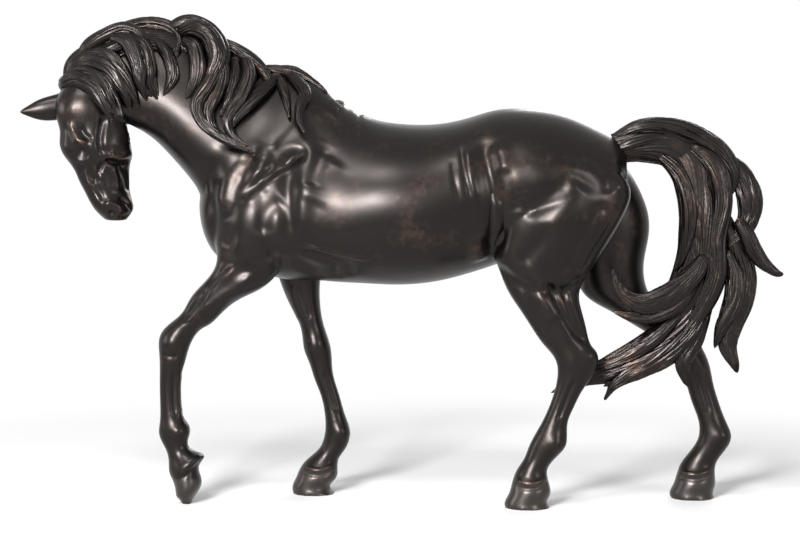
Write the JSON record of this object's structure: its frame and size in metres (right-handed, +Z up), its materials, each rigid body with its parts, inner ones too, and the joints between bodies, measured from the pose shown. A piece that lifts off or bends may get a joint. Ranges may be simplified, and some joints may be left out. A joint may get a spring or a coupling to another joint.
{
  "type": "horse statuette",
  "caption": "Free-standing bronze statuette of a walking horse with its head turned, hollow cast sections joined by inner sleeves and pins.",
  "frame": {"origin": "centre of the bounding box in plan, on the surface the hooves stand on", "axes": "+Z up; the horse faces -X; its left side is towards -Y"},
  "size_m": [0.5527, 0.1072, 0.3521],
  "materials": {
    "bronze": "dark brown wax patina, satin",
    "bronze_hair": "dark brown wax patina with rubbed edges",
    "bronze_inner": "raw cast bronze"
  },
  "bodies": {
    "root": {"barrel": "bronze", "cheek_lock": "bronze_hair", "core_plugs": "bronze_inner", "crest_lock": "bronze_hair", "cross_lock": "bronze_hair", "curled_lock": "bronze_hair", "far_fore_leg": "bronze", "far_fore_leg_pin": "bronze_inner", "far_hind_leg": "bronze", "far_hind_leg_pin": "bronze_inner", "forelock": "bronze_hair", "forequarter": "bronze", "front_joint_pins": "bronze_inner", "front_joint_sleeve": "bronze_inner", "head": "bronze", "hindquarter": "bronze", "left_ear": "bronze", "long_lock": "bronze_hair", "loop_lock": "bronze_hair", "mane_crest_front": "bronze_hair", "mane_crest_rear": "bronze_hair", "near_fore_leg": "bronze", "near_fore_leg_pin": "bronze_inner", "near_hind_leg": "bronze", "near_hind_leg_pin": "bronze_inner", "neck": "bronze", "neck_joint_pins": "bronze_inner", "neck_joint_sleeve": "bronze_inner", "poll_joint_pins": "bronze_inner", "poll_joint_sleeve": "bronze_inner", "poll_lock": "bronze_hair", "rear_joint_pins": "bronze_inner", "rear_joint_sleeve": "bronze_inner", "right_ear": "bronze", "tail_back_lock": "bronze_hair", "tail_curl": "bronze_hair", "tail_dock": "bronze_hair", "tail_dowel": "bronze_inner", "tail_fall": "bronze_hair", "tail_flick": "bronze_hair", "tail_sweep": "bronze_hair", "tail_tip": "bronze_hair", "tail_under_lock": "bronze_hair", "withers_lock": "bronze_hair"}
  },
  "joints": []
}
